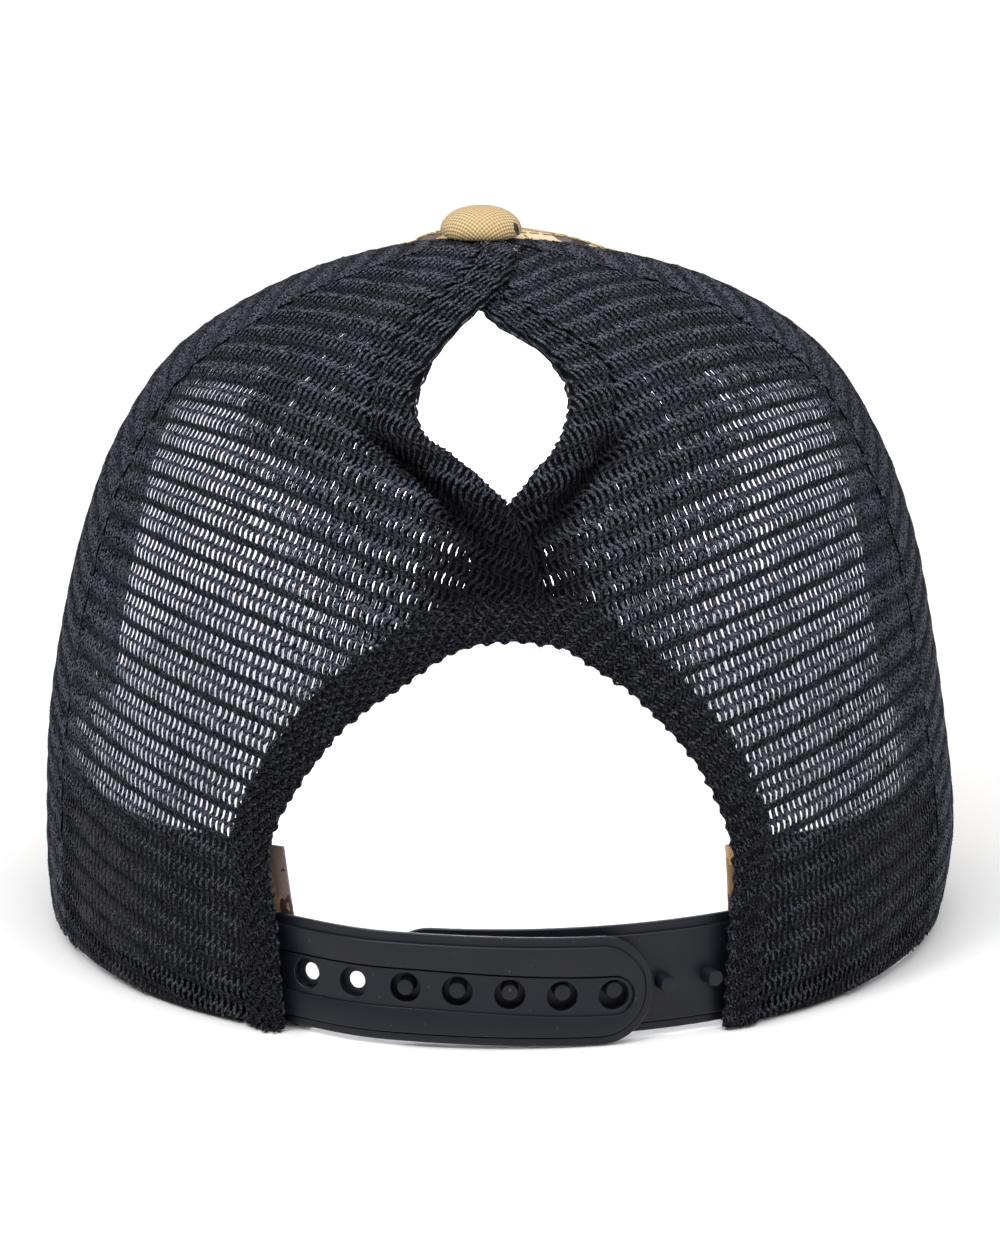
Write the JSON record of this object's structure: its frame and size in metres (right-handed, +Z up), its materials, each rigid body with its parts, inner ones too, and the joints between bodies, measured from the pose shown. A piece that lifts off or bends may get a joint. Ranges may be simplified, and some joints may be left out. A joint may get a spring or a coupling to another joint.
{
  "type": "trucker cap",
  "caption": "Trucker cap with a crossed open back: printed front panels and peak, black knit mesh panels, ponytail hole above the arch, snap strap.",
  "frame": {"origin": "bottom centre of the whole cap, on the surface that it rests on", "axes": "+Z up through the crown, +Y towards the peak, -Y towards the strap, +X to the right when the cap is seen from behind"},
  "size_m": [0.1907, 0.2641, 0.1498],
  "materials": {
    "knit_mesh": "open zig-zag knit, matt, black",
    "print_twill": null,
    "band_cloth": "cotton band, pale inside, printed at its two ends, black outside",
    "button_cloth": "plain tan woven cloth",
    "strap_plastic": "moulded, satin, near black"
  },
  "bodies": {
    "root": {"front_panel_right": "print_twill", "front_panel_left": "print_twill", "side_panel_right": "knit_mesh", "side_panel_left": "knit_mesh", "back_panel_left": "knit_mesh", "back_panel_right": "knit_mesh", "arch_binding": "knit_mesh", "sweatband": "band_cloth", "peak": "print_twill", "button": "button_cloth", "strap_holed": "strap_plastic", "strap_studded": "strap_plastic"}
  },
  "joints": []
}
